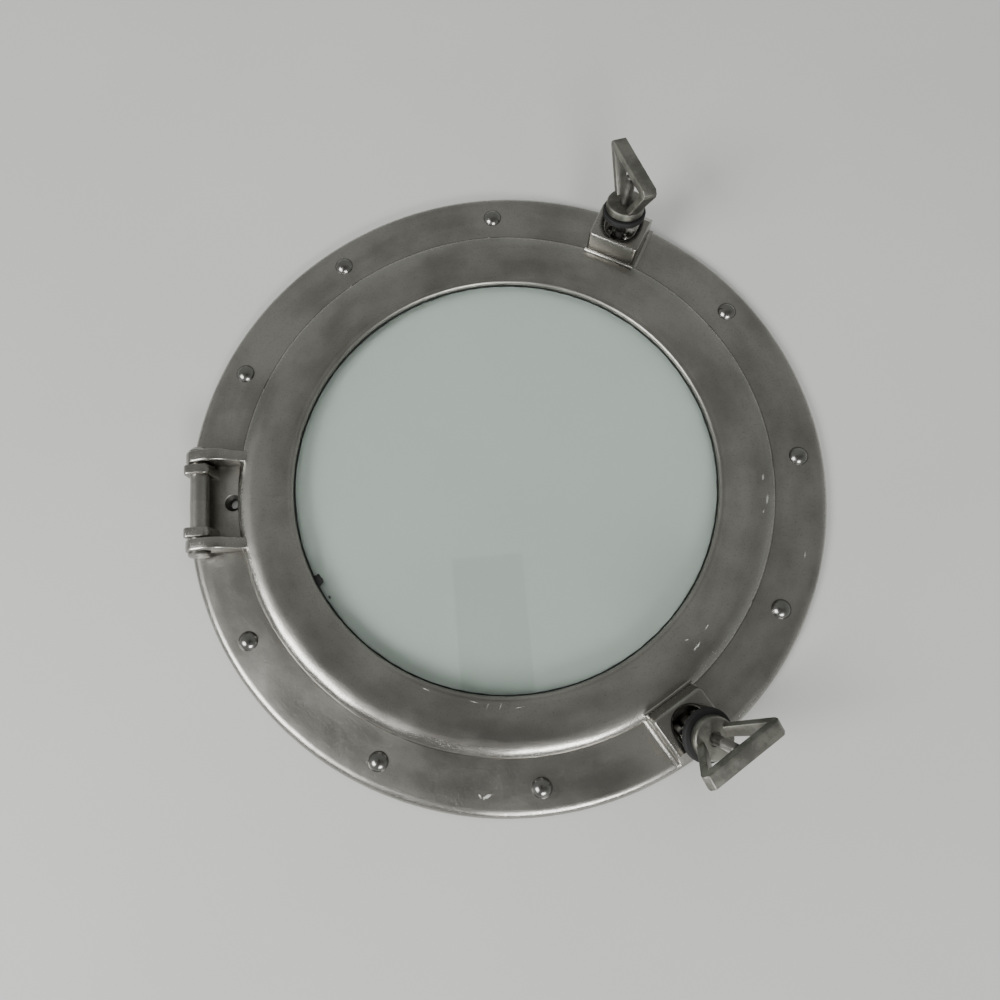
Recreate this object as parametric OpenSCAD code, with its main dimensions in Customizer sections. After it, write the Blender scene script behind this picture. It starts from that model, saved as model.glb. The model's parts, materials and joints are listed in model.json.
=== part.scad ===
// Porthole window: a flanged frame with a hinged, glazed door ring held shut by two swing-bolt dogs.
// The origin is the centre of the frame's back face. +Z points out of the front, +Y is up on the wall.

/* [Frame] */
// Outer diameter of the flange
flange_d = 381; // [320:1:460]
// Thickness of the flange
flange_t = 6; // [5:0.5:8]
// Rounding of the flange's front rim
rim_round = 3.5; // [1:0.5:4.5]
// Width of the flange that shows outside the door ring
flange_land = 31.6; // [27:0.2:40]
// Distance from the rim in to the circle of rivets and dogs
pitch_inset = 15.5; // [13:0.5:18]

/* [Door ring] */
// Width of the ring's face, from its outer edge to the lip round the glass
ring_w = 31.3; // [27:0.1:40]
// Height of the ring's crest above the flange
ring_h = 8; // [6.5:0.5:12]
// Rounding of the ring's outer edge
ring_round = 4.6; // [2:0.2:6]
// Width of the flat crest before the face falls to the lip
crest_w = 4; // [1:0.5:7]
// Thickness of the lip over the glass
lip_t = 3.2; // [2.4:0.1:5]
// Rounding of the lip
lip_round = 2.4; // [1:0.1:2.4]
// Width of the spigot that drops into the frame's bore
spigot_w = 7.6; // [6.5:0.1:9]
// Width of the groove for the door gasket
groove_w = 5; // [3:0.5:6]
// Depth of the groove for the door gasket
groove_depth = 3; // [2:0.5:4]

/* [Glazing] */
// Thickness of the glass
glass_t = 4; // [3:0.5:6]
// How far the lip laps over the glass
glass_lap = 4; // [3:0.5:6]
// Thickness of the bedding gasket round the glass
bedding_t = 0.8; // [0.6:0.1:1.5]
// Number of clips behind the glass
clip_count = 4; // [4:4:8]
// Thickness of a clip
clip_t = 1; // [0.8:0.1:1.5]
// Width of a clip along the glass's edge
clip_w = 12; // [8:1:16]
// Diameter of a clip screw's thread
clip_screw_d = 3; // [2.5:0.5:3.5]
// Length of a clip screw's thread in the ring
clip_screw_grip = 5; // [4:0.5:6]
// Height of a clip screw's head
clip_head_t = 1; // [0.8:0.1:1.5]

/* [Hinge] */
// Distance from the rim in to the hinge axis
hinge_inset = 11; // [9.5:0.5:14]
// Diameter of the hinge pin
hinge_pin_d = 10.6; // [6:0.2:11]
// Diameter of the knuckles round the pin
knuckle_d = 15; // [13.5:0.1:17]
// Space between the frame's two knuckles
knuckle_space = 31.5; // [22:0.5:36]
// Width of each frame knuckle
knuckle_w = 6.1; // [5:0.1:9]
// Gap between each knuckle and the door ear beside it
hinge_play = 1.6; // [0.4:0.2:3]
// Width of each door ear
hinge_ear_w = 6.6; // [5:0.2:9]
// Diameter of the hinge pin's head
hinge_head_d = 12.6; // [11.6:0.2:14]
// Thickness of the hinge pin's head
hinge_head_t = 2; // [1:0.5:3]
// Thickness of the ring that keeps the hinge pin in
keeper_t = 1.2; // [0.8:0.2:2]

/* [Dogs] */
// Angle of each dog from the side opposite the hinge
dog_angle = 60; // [50:1:70]
// Width of the door's forked ear
fork_w = 32; // [30:1:38]
// Thickness of each arm of the forked ear
fork_arm = 6; // [4:0.5:7]
// Thickness of the forked ear's inner wall, behind the slot's round end
fork_wall = 6; // [5:0.5:6]
// Height of the forked ear's top above the flange
fork_h = 20.5; // [17:0.5:26]
// How far the forked ear's inner face leans out on its way up
fork_slope = 3; // [0:0.5:4]
// How far the forked ear starts in from the ring's outer edge
fork_root = 4; // [2:0.5:6]
// Distance from the rim in to the forked ear's outer end
fork_inset = 4.5; // [3:0.5:7]
// Chamfer on the forked ear's top outer edge
fork_chamfer = 6; // [2:0.5:8]
// Distance from the rim in to the bolts' pivots
pivot_inset = 18.5; // [16:0.5:20]
// Diameter of the swing bolt's eye
eye_d = 13; // [11:0.5:14]
// Width of the swing bolt's eye
eye_w = 5.6; // [4.6:0.2:6.4]
// Diameter of the pivot pin through the eye
pivot_pin_d = 5; // [4:0.5:6]
// Thickness of each cheek of the frame's lug
cheek_w = 4; // [3:0.5:5]
// Diameter of the swing bolt's thread
bolt_d = 6; // [5:0.5:7]
// How far the bolt stands out of the wing nut's hub
bolt_out = 19; // [8:1:20]
// Outward lean of the upper bolt at rest
upper_lean = 13; // [0:1:24]
// Outward lean of the lower bolt at rest
lower_lean = 20; // [0:1:24]
// Lean of the upper bolt along the rim, which its loose eye allows
upper_side_lean = 3; // [0:1:8]
// Lean of the lower bolt along the rim
lower_side_lean = 8; // [0:1:8]

/* [Wing nuts] */
// Diameter of the hub
hub_d = 23; // [20:1:28]
// Thickness of the hub
hub_t = 5.5; // [5:0.5:10]
// Length of the grip bar
bar_len = 48; // [38:1:54]
// Width of the grip bar and its arms
bar_w = 8; // [6:0.5:10]
// Thickness of the grip bar
bar_t = 5; // [4:0.5:7]
// Height of the finger gap between hub and bar
finger_gap = 22; // [21:1:28]
// Thickness of each arm
arm_t = 5; // [4:0.5:6]
// Turn of the upper nut's bar from the dog's own radius
upper_turn = 43; // [0:1:179]
// Turn of the lower nut's bar from the dog's own radius
lower_turn = 86; // [0:1:179]
// Diameter of the rubber washer
washer_d = 26; // [22:1:28]
// Thickness of the rubber washer
washer_t = 3.5; // [3:0.5:7]

/* [Rivets] */
// Diameter of a rivet's dome
dome_d = 11.5; // [9:0.5:13]
// Height of a rivet's dome
dome_h = 3.2; // [2:0.2:4.5]
// Diameter of a rivet's shank
rivet_shank_d = 5; // [4:0.5:6]
// Diameter of the open screw hole beside the hinge
screw_hole_d = 6; // [4:0.5:6]
// Mouth of that hole's countersink
screw_mouth_d = 10.5; // [8:0.5:11]

/* [Hidden] */
$fn = 96;

// Gap between the door's metal and the flange that it closes on
seat_gap = 0.3;
// Side gap between parts that move past each other
side_gap = 0.4;
// Radial gap between a pin and the parts that turn on it
pin_gap = 0.1;
// Radial gap between a pivot pin and the bolt's eye, which is left loose
pivot_gap = 0.6;
// Gap between the bolt's eye and each cheek of its lug
eye_gap = 1.2;
// Gap between fixed parts that fit together
fit_gap = 0.05;
// Radial gap between the bolt's thread and what slides on it
thread_gap = 0.3;
// Gap between the nut's hub and its washer
hub_gap = 0.2;
// Gap between the clip screws' heads and the wall
back_gap = 0.3;
// Radial gap between the door's spigot and the flange's bore
spigot_gap = 1;
// Small overlap that joins the lumps of one casting
lap = 0.5;
// Small bevel on machined edges
edge = 0.8;

// Radii, from the rim inwards
flange_r = flange_d / 2;
ring_r = flange_r - flange_land;
sight_r = ring_r - ring_w;
glass_r = sight_r + glass_lap;
pocket_r = glass_r + bedding_t;
spigot_r = pocket_r + spigot_w;
bore_r = spigot_r + spigot_gap;
groove_r = (spigot_r + ring_r - ring_round / 2) / 2;
pitch_r = flange_r - pitch_inset;

// Heights, from the back face forwards
clip_z = back_gap + clip_head_t;
glass_z = clip_z + clip_t;
glass_top = glass_z + glass_t;
pocket_z = glass_top + bedding_t;
lip_z = pocket_z + lip_t;
ring_z = flange_t + seat_gap;
crest_z = flange_t + ring_h;

// Hinge
hinge_x = -(flange_r - hinge_inset);
hinge_z = ring_z + knuckle_d / 2;
hinge_ear_y = knuckle_space / 2 + knuckle_w + hinge_play;
hinge_end_y = hinge_ear_y + hinge_ear_w;
// The ears run in under the crest of the ring
hinge_ear_reach = flange_land - hinge_inset + ring_round + crest_w;

// Dogs
pivot_r = flange_r - pivot_inset;
pivot_z = flange_t + seat_gap + eye_d / 2;
fork_in = ring_r - fork_root;
fork_out = flange_r - fork_inset;
fork_top = flange_t + fork_h;
slot_w = fork_w - 2 * fork_arm;
lug_w = eye_w + 2 * eye_gap + 2 * cheek_w;
slot_in = fork_in + fork_wall;
// The washer clears the forked ear's highest outer edge however far the bolt swings
fork_edge_x = fork_out - fork_chamfer - pivot_r;
fork_edge_z = fork_top - pivot_z;
swing_gap = 0.5;
side_lean = max(upper_side_lean, lower_side_lean);
washer_z = norm([fork_edge_x, fork_edge_z]) * cos(side_lean) + washer_d / 2 * sin(side_lean) + swing_gap;
hub_z = washer_z + washer_t + hub_gap;
hub_top = hub_z + hub_t;
bolt_top = hub_top + bolt_out;
bar_z = hub_top + finger_gap;

// Rivets: twelve places a twelfth of a turn apart, drilled by hand, so each is a little off its mark
rivet_places = 12;
rivet_drift = [-1, 2.5, 0, -2.5, 1, 2, 0, -2, 1.5, 1.5, 0, -1.5];
// The dogs and the open screw hole take three of the places
rivet_taken = [2, 6, 10];
clip_first = 45;
clip_overlap = 3.5;
clip_screw_r = (pocket_r + spigot_r) / 2;
// The screw hole sits as near the door ring as its driver allows
screw_hole_gap = 0.8;
screw_hole_r = ring_r + screw_hole_gap + screw_hole_d / 2;

// Points along an arc round c, from angle a to angle b
function arc(c, r, a, b, n = 8) =
  [for (i = [0:n]) c + r * [cos(a + (b - a) * i / n), sin(a + (b - a) * i / n)]];

// Turns a child from the dog's own frame (X outwards, Y along the rim) to the dog's place
module at_dog(side) {
  rotate([0, 0, side * dog_angle]) children();
}

// Puts a child that is drawn along a bolt onto its pivot, leaning outwards and along the rim
module on_bolt(side) {
  lean = side > 0 ? upper_lean : lower_lean;
  along_rim = side > 0 ? upper_side_lean : lower_side_lean;
  at_dog(side) translate([pivot_r, 0, pivot_z]) rotate([0, lean, 0]) rotate([-along_rim, 0, 0])
    children();
}

// A shape drawn in X and Z, given a width along Y
module across(width) {
  rotate([90, 0, 0]) linear_extrude(width, center = true) children();
}

// A straight round piece along Y
module along_y(d, from, to) {
  translate([0, to, 0]) rotate([90, 0, 0]) cylinder(d = d, h = to - from);
}

// The flange's section, with a rounded front rim
module flange_body() {
  rotate_extrude($fn = 180) polygon(concat(
    [[bore_r, 0], [flange_r - edge, 0], [flange_r, edge]],
    arc([flange_r - rim_round, flange_t - rim_round], rim_round, 0, 90),
    [[bore_r + edge, flange_t], [bore_r, flange_t - edge]]
  ));
}

// A cast knuckle: an arch round the hinge axis that stands on the flange
module knuckle(y) {
  translate([hinge_x, y, 0]) across(knuckle_w) {
    translate([0, hinge_z]) circle(d = knuckle_d);
    translate([-knuckle_d / 2, flange_t - lap]) square([knuckle_d, hinge_z - flange_t + lap]);
  }
}

// The lug that carries a bolt: two cheeks round the eye, on a foot that runs out to the rim
module lug() {
  foot = flange_r - rim_round - pivot_r;
  difference() {
    translate([pivot_r, 0, 0]) across(lug_w) {
      translate([0, pivot_z]) circle(d = eye_d);
      polygon([
        [-eye_d / 2, flange_t - lap], [foot, flange_t - lap],
        [foot, flange_t + edge], [eye_d / 2, pivot_z], [-eye_d / 2, pivot_z]
      ]);
    }
    translate([pivot_r - eye_d, -eye_w / 2 - eye_gap, flange_t])
      cube([flange_r, eye_w + 2 * eye_gap, fork_h]);
    translate([pivot_r, 0, pivot_z]) along_y(pivot_pin_d + 2 * fit_gap, -lug_w, lug_w);
  }
}

module rivet_holes() {
  for (i = [0:rivet_places - 1])
    if (!search(i, rivet_taken))
      rotate([0, 0, i * 360 / rivet_places + rivet_drift[i]]) translate([pitch_r, 0, -lap])
        cylinder(d = rivet_shank_d + 2 * fit_gap, h = flange_t + 2 * lap);
}

// The open countersunk hole between the hinge and the door ring
module screw_hole() {
  sink = (screw_mouth_d - screw_hole_d) / 2;
  translate([-screw_hole_r, 0, -lap]) cylinder(d = screw_hole_d, h = flange_t + 2 * lap);
  translate([-screw_hole_r, 0, flange_t - sink])
    cylinder(d1 = screw_hole_d, d2 = screw_mouth_d + 2 * lap, h = sink + lap);
}

module frame_ring() {
  color([0.46, 0.46, 0.44]) difference() {
    union() {
      flange_body();
      for (side = [-1, 1]) {
        knuckle(side * (knuckle_space + knuckle_w) / 2);
        at_dog(side) lug();
      }
    }
    rivet_holes();
    screw_hole();
    translate([hinge_x, 0, hinge_z]) along_y(hinge_pin_d + 2 * fit_gap, -hinge_ear_y, hinge_ear_y);
  }
}

// The ring's section: a rounded outer edge, a crest, a face that falls to the lip, and a spigot behind
module ring_body() {
  rotate_extrude($fn = 180) polygon(concat(
    [[ring_r - edge, ring_z], [ring_r, ring_z + edge]],
    arc([ring_r - ring_round, crest_z - ring_round], ring_round, 0, 90),
    [[ring_r - ring_round - crest_w, crest_z]],
    arc([sight_r + lip_round, lip_z - lip_round], lip_round, 90, 180),
    [
      [sight_r, pocket_z], [pocket_r, pocket_z], [pocket_r, glass_z], [spigot_r, glass_z],
      [spigot_r, ring_z], [groove_r - groove_w / 2, ring_z],
      [groove_r - groove_w / 2, ring_z + groove_depth],
      [groove_r + groove_w / 2, ring_z + groove_depth], [groove_r + groove_w / 2, ring_z]
    ]
  ));
}

// The door's forked ear: a block with a slot that is open outwards, for the bolt to drop into
module fork() {
  difference() {
    across(fork_w) polygon([
      [fork_in, crest_z - ring_round], [ring_r, ring_z], [fork_out, ring_z],
      [fork_out, fork_top - fork_chamfer], [fork_out - fork_chamfer, fork_top],
      [fork_in + fork_slope + edge, fork_top], [fork_in + fork_slope, fork_top - edge],
      [fork_in, crest_z]
    ]);
    translate([slot_in + slot_w / 2, 0, ring_z - lap]) linear_extrude(fork_h + 2 * lap) {
      circle(d = slot_w);
      translate([0, -slot_w / 2]) square([fork_w, slot_w]);
    }
  }
}

// The door's hinge ear: an eye round the pin, on an arm that runs into the ring
module hinge_ear(y) {
  // The arm's top starts to fall here, and is half way down to the crest here
  fall_x = hinge_ear_reach / 4;
  half_x = hinge_ear_reach * 3 / 5;
  arm_top = hinge_z + knuckle_d / 2;
  translate([hinge_x, y, 0]) across(hinge_ear_w) {
    translate([0, hinge_z]) circle(d = knuckle_d);
    polygon([
      [0, ring_z], [hinge_ear_reach, ring_z], [hinge_ear_reach, crest_z - edge],
      [half_x, (arm_top + crest_z) / 2], [fall_x, arm_top], [0, arm_top]
    ]);
  }
}

module clip_places() {
  for (i = [0:clip_count - 1])
    rotate([0, 0, clip_first + i * 360 / clip_count]) translate([clip_screw_r, 0, 0]) children();
}

module door_ring() {
  color([0.52, 0.52, 0.5]) difference() {
    union() {
      ring_body();
      for (side = [-1, 1]) {
        at_dog(side) fork();
        hinge_ear(side * (hinge_ear_y + hinge_ear_w / 2));
      }
    }
    clip_places() translate([0, 0, glass_z - lap])
      cylinder(d = clip_screw_d + 2 * fit_gap, h = clip_screw_grip + 2 * lap);
    translate([hinge_x, 0, hinge_z])
      along_y(hinge_pin_d + 2 * pin_gap, -hinge_end_y - lap, hinge_end_y + lap);
  }
}

module glass() {
  color([0.8, 0.88, 0.84, 0.4]) translate([0, 0, glass_z]) cylinder(r = glass_r, h = glass_t, $fn = 180);
}

// The bedding round the glass: an angle section that shows as a thin line inside the lip
module glass_gasket() {
  show = 0.4;
  color([0.06, 0.06, 0.06]) rotate_extrude($fn = 180) polygon([
    [sight_r - show, glass_top + fit_gap], [glass_r + fit_gap, glass_top + fit_gap],
    [glass_r + fit_gap, glass_z + fit_gap], [pocket_r - fit_gap, glass_z + fit_gap],
    [pocket_r - fit_gap, pocket_z - fit_gap], [sight_r - show, pocket_z - fit_gap]
  ]);
}

module door_gasket() {
  width = groove_w - 2 * fit_gap;
  color([0.06, 0.06, 0.06]) rotate_extrude($fn = 180)
    translate([groove_r - width / 2, flange_t + seat_gap / 2])
      square([width, groove_depth + seat_gap / 2 - fit_gap]);
}

// A flat clip behind the glass, screwed to the spigot
module glass_clip(i) {
  inner = glass_r - clip_overlap;
  color([0.7, 0.7, 0.68]) rotate([0, 0, clip_first + i * 360 / clip_count]) difference() {
    translate([inner, -clip_w / 2, clip_z]) cube([spigot_r - edge - inner, clip_w, clip_t - fit_gap]);
    translate([clip_screw_r, 0, 0]) cylinder(d = clip_screw_d + 2 * pin_gap, h = glass_z + lap);
  }
}

module clip_screws() {
  color([0.75, 0.75, 0.72]) clip_places() {
    translate([0, 0, back_gap]) cylinder(d = 2 * clip_screw_d, h = clip_head_t);
    translate([0, 0, back_gap]) cylinder(d = clip_screw_d, h = clip_head_t + clip_t + clip_screw_grip);
  }
}

// The hinge pin, with its head below the lower ear
module hinge_pin() {
  tail = keeper_t + 2 * side_gap + edge;
  color([0.7, 0.7, 0.68]) translate([hinge_x, 0, hinge_z]) {
    along_y(hinge_pin_d, -hinge_end_y - side_gap - lap, hinge_end_y + tail);
    along_y(hinge_head_d, -hinge_end_y - side_gap - hinge_head_t, -hinge_end_y - side_gap);
  }
}

module hinge_pin_keeper() {
  color([0.6, 0.6, 0.58]) translate([hinge_x, 0, hinge_z]) difference() {
    along_y(hinge_head_d, hinge_end_y + side_gap, hinge_end_y + side_gap + keeper_t);
    along_y(hinge_pin_d + 2 * fit_gap, hinge_end_y, hinge_end_y + 2 * side_gap + keeper_t);
  }
}

module swing_bolt(side) {
  color([0.62, 0.62, 0.6]) on_bolt(side) difference() {
    union() {
      along_y(eye_d, -eye_w / 2, eye_w / 2);
      cylinder(d = bolt_d, h = bolt_top - edge);
      translate([0, 0, bolt_top - edge]) cylinder(d1 = bolt_d, d2 = bolt_d - 2 * edge, h = edge);
    }
    along_y(pivot_pin_d + 2 * pivot_gap, -eye_w, eye_w);
  }
}

module pivot_pin(side) {
  color([0.7, 0.7, 0.68]) at_dog(side) translate([pivot_r, 0, pivot_z])
    along_y(pivot_pin_d, -lug_w / 2, lug_w / 2);
}

module rubber_washer(side) {
  color([0.07, 0.07, 0.07]) on_bolt(side) translate([0, 0, washer_z]) difference() {
    cylinder(d = washer_d, h = washer_t);
    translate([0, 0, -lap]) cylinder(d = bolt_d + 2 * thread_gap, h = washer_t + 2 * lap);
  }
}

// The wing nut's two arms and its grip bar, drawn as a frame with the finger gap cut out
module grip() {
  foot_in = bolt_d / 2 + 2 * thread_gap + arm_t / 2;
  foot_out = foot_in + arm_t;
  top_in = bar_len / 2 - arm_t;
  across(bar_w) difference() {
    polygon([
      [-foot_out, hub_z + edge], [foot_out, hub_z + edge], [foot_out, hub_top],
      [bar_len / 2, bar_z], [bar_len / 2, bar_z + bar_t],
      [-bar_len / 2, bar_z + bar_t], [-bar_len / 2, bar_z], [-foot_out, hub_top]
    ]);
    polygon([[-foot_in, hub_top - lap], [foot_in, hub_top - lap], [top_in, bar_z], [-top_in, bar_z]]);
  }
}

module wing_nut(side, turn) {
  color([0.36, 0.36, 0.33]) on_bolt(side) rotate([0, 0, turn]) difference() {
    union() {
      rotate_extrude() polygon([
        [0, hub_z], [hub_d / 2 - edge, hub_z], [hub_d / 2, hub_z + edge],
        [hub_d / 2, hub_top - edge], [hub_d / 2 - edge, hub_top], [0, hub_top]
      ]);
      grip();
    }
    translate([0, 0, hub_z - lap]) cylinder(d = bolt_d + 2 * thread_gap, h = hub_t + 2 * lap);
  }
}

// Dome rivets: a spherical cap on a shank that ends flush with the flange's back
module dome_rivets() {
  dome_r = (dome_h * dome_h + dome_d * dome_d / 4) / (2 * dome_h);
  color([0.66, 0.66, 0.64]) for (i = [0:rivet_places - 1])
    if (!search(i, rivet_taken))
      rotate([0, 0, i * 360 / rivet_places + rivet_drift[i]]) translate([pitch_r, 0, 0]) {
        translate([0, 0, back_gap]) cylinder(d = rivet_shank_d, h = flange_t - back_gap + lap);
        translate([0, 0, flange_t]) intersection() {
          translate([0, 0, dome_h - dome_r]) sphere(dome_r);
          cylinder(d = dome_d, h = dome_h);
        }
      }
}

frame_ring();
door_ring();
glass();
glass_gasket();
door_gasket();
glass_clip(0);  // glass_clip_1
glass_clip(1);  // glass_clip_2
glass_clip(2);  // glass_clip_3
glass_clip(3);  // glass_clip_4
clip_screws();
hinge_pin();
hinge_pin_keeper();
swing_bolt(1);  // upper_swing_bolt
pivot_pin(1);  // upper_pivot_pin
rubber_washer(1);  // upper_rubber_washer
wing_nut(1, upper_turn);  // upper_wing_nut
swing_bolt(-1);  // lower_swing_bolt
pivot_pin(-1);  // lower_pivot_pin
rubber_washer(-1);  // lower_rubber_washer
wing_nut(-1, lower_turn);  // lower_wing_nut
dome_rivets();
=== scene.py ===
"""Porthole window: a cast flange, a hinged door ring with its glass, and two swing-bolt dogs."""

import json
import math

import bmesh
import bpy
from bpy.props import FloatProperty, FloatVectorProperty, IntProperty, PointerProperty
from mathutils import Matrix, Vector, noise


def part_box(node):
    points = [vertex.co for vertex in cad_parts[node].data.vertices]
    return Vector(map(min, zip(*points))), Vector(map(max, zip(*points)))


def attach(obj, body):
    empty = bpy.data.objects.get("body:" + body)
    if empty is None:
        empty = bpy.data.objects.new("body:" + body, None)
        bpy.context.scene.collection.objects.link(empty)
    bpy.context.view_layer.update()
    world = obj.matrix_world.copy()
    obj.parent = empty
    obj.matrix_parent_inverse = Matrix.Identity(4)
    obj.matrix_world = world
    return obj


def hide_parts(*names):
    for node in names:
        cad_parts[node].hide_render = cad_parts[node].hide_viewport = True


bl_info = {
    "name": "Porthole window",
    "version": (1, 0, 0),
    "blender": (4, 5, 0),
    "location": "View3D > Sidebar > Porthole",
    "description": "Models the castings, glazing and dogs of a porthole window round its frame",
    "category": "Add Mesh",
}

MM = 0.001
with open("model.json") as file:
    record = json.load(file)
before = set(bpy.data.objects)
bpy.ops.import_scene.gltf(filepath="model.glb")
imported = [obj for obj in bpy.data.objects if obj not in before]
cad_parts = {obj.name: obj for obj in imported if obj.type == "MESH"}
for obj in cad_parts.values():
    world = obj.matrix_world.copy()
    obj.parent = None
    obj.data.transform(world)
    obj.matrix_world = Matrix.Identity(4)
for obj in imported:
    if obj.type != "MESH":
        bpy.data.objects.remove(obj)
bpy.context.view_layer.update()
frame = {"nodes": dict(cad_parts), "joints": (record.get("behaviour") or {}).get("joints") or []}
JOINTS = {joint["name"]: joint for joint in frame["joints"]}


# Places that come from the frame

def low(node):
    """The lowest corner of a CAD node."""
    return Vector(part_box(node)[0])


def high(node):
    """The highest corner of a CAD node."""
    return Vector(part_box(node)[1])


def joint_place(name):
    """The point that a joint turns about."""
    return Vector(JOINTS[name]["pos_m"])


def bolt_matrix(dog):
    """A dog's own frame: the origin on its pivot, Y along the rim and Z along the leaning bolt."""
    along = Vector(JOINTS[dog + "_nut_spin"]["axis"]).normalized()
    side = Vector(JOINTS[dog + "_bolt_swing"]["axis"])
    out = side.cross(along).normalized()
    turned = Matrix((out, along.cross(out), along)).transposed()
    return Matrix.Translation(joint_place(dog + "_bolt_swing")) @ turned.to_4x4()


def rim_matrix(dog):
    """The frame of a dog's place on the window: X outwards, Y along the rim and Z forwards."""
    place = joint_place(dog + "_bolt_swing")
    return Matrix.Rotation(math.atan2(place.y, place.x), 4, "Z")


FLANGE_R = (high("frame_ring").y - low("frame_ring").y) / 2
GLASS_R = (high("glass").y - low("glass").y) / 2
GLASS_FRONT = high("glass").z
GLASS_BACK = low("glass").z
PIVOT = joint_place("upper_bolt_swing")
PIVOT_R = PIVOT.xy.length
HINGE = joint_place("door_hinge")
DOGS = ("upper", "lower")

# Gaps round the glass, behind the door ring and round its spigot
GLASS_GAP = 0.8 * MM
DOOR_GAP = 0.3 * MM
SPIGOT_GAP = 1 * MM
# How far the lip covers the glass, and how deep a foot is sunk in the flange
LIP_COVER = 4 * MM
SINK = 0.5 * MM
# The castings' small edges, and how finely rings and the forks' corners are turned
SMALL_EDGE = 0.8 * MM
CAST_STEPS = 288
CORNER_STEPS = 6


def length(name, description, default, **more):
    """A length in metres, shown in the file's own unit."""
    return FloatProperty(
        name=name, description=description, default=default * MM, unit="LENGTH", precision=5, **more
    )


def paint(name, description, default):
    """A colour that the user can change."""
    return FloatVectorProperty(
        name=name, description=description, default=default, subtype="COLOR", size=3, min=0, max=1
    )


class PortholeCastings(bpy.types.PropertyGroup):
    """Sizes of the flange and the door ring."""

    flange_t: length("Flange thickness", "Thickness of the flange", 6)
    rim_round: length("Rim rounding", "Width of the flange's rounded front rim", 5.5)
    pitch_inset: length("Rivet inset", "Distance from the rim in to the rivets", 15.5)
    land: length("Flange land", "Width of flange outside the door ring", 31.6)
    ring_w: length("Ring width", "Width of the door ring's face", 33)
    ring_h: length("Ring height", "Height of the ring's crest above the flange", 8)
    ring_round: length("Ring roll", "Width of the ring's rolled outer edge", 10)
    ring_side: length("Ring side", "Height at which the ring's side starts to roll", 8.6)
    screw_r: length("Screw hole", "Radius of the screw hole by the hinge", 3)
    screw_mouth: length("Screw hole mouth", "Radius of the screw hole's countersink", 5.25)
    lip_z: length("Lip height", "Height of the lip over the back face", 10.3)
    lip_round: length("Lip rounding", "Rounding of the lip round the glass", 2.4)
    spigot_w: length("Spigot width", "Width of the spigot behind the ring", 7.6)
    polish_wave: length("Polish wave", "How far hand polishing has left the rims uneven", 0.45)
    rivet_places: IntProperty(name="Places", description="Places on the rivet circle", default=12)


class PortholeDogs(bpy.types.PropertyGroup):
    """Sizes of the dogs."""

    fork_w: length("Fork width", "Width of the forked ear", 31.6)
    fork_arm: length("Fork arm", "Thickness of each arm", 6)
    fork_wall: length("Fork wall", "Thickness of the ear's foot behind its slot", 6)
    fork_top: length("Fork top", "Height of the ear over the back face", 26.5)
    fork_slope: length("Fork slope", "How far the ear's inner face leans out", 3)
    fork_chamfer: length("Fork chamfer", "Chamfer on the ear's outer top edge", 6)
    cheek_w: length("Lug cheek", "Thickness of each cheek of the lug", 4)
    eye_r: length("Eye radius", "Radius of the bolt's eye", 6.5)
    eye_w: length("Eye width", "Width of the bolt's eye", 5.6)
    pin_bore: length("Eye bore", "Bore of the bolt's eye, loose on its pin", 6.2)
    eye_gap: length("Eye gap", "Gap between the eye and each cheek", 1.2)
    bolt_r: length("Bolt radius", "Radius of the bolt's shank", 3)
    pitch: length("Thread pitch", "Distance between the thread's crests", 1)
    hub_r: length("Hub radius", "Radius of the nut's hub", 11.5)
    hub_t: length("Hub thickness", "Thickness of the nut's hub", 5.5)
    bar_len: length("Bar length", "Length of the nut's grip bar", 48)
    bar_w: length("Bar width", "Width of the nut's grip bar", 8)
    bar_t: length("Bar thickness", "Thickness of the nut's grip bar", 5)
    arm_t: length("Arm thickness", "Thickness of the nut's arms", 5)
    upper_washer_r: length("Upper washer radius", "Radius of the upper rubber washer", 13)
    lower_washer_r: length("Lower washer radius", "Radius of the lower rubber washer", 14.4)
    upper_turn: FloatProperty(
        name="Upper turn", description="Turn of the upper nut", default=math.radians(43), subtype="ANGLE"
    )
    lower_turn: FloatProperty(
        name="Lower turn", description="Turn of the lower nut", default=math.radians(86), subtype="ANGLE"
    )


class PortholeFinish(bpy.types.PropertyGroup):
    """Colours of the finishes."""

    cast: paint("Cast metal", "The castings' satin metal", (0.40, 0.39, 0.36))
    dull: paint("Dull metal", "Duller patches of the castings", (0.27, 0.262, 0.24))
    nut: paint("Nut metal", "The rough wing nuts", (0.30, 0.295, 0.262))
    bright: paint("Bright metal", "Polished rivets, pins and edges", (0.60, 0.59, 0.565))
    rubber: paint("Rubber", "Washers and gaskets", (0.006, 0.006, 0.006))
    # The glass's faint green, darkened further as painted shade for the shaded floor seen through it
    glass: paint("Glass", "The faint green of the glass", (0.575, 0.63, 0.60))
    floor: paint("Floor", "The pale floor", (0.56, 0.56, 0.545))


# Shader maths

class Wire:
    """A value on its way through a material. An expression on wires adds its Math nodes."""

    def __init__(self, shader, socket):
        self.shader = shader
        self.socket = socket

    def math(self, operation, *others):
        values = dict(enumerate((self, *others)))
        return self.shader.node("ShaderNodeMath", {"operation": operation}, values)

    def __add__(self, other):
        return self.math("ADD", other)

    def __sub__(self, other):
        return self.math("SUBTRACT", other)

    def __rsub__(self, other):
        return self.shader.node("ShaderNodeMath", {"operation": "SUBTRACT"}, {0: other, 1: self})

    def __mul__(self, other):
        return self.math("MULTIPLY", other)

    def __pow__(self, other):
        return self.math("POWER", other)

    def above(self, start, end):
        """0 under start and 1 over end, with a smooth way between."""
        return self.shader.node(
            "ShaderNodeMapRange", {"interpolation_type": "SMOOTHSTEP"}, {0: self, 1: start, 2: end}
        )

    __radd__ = __add__
    __rmul__ = __mul__


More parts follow.
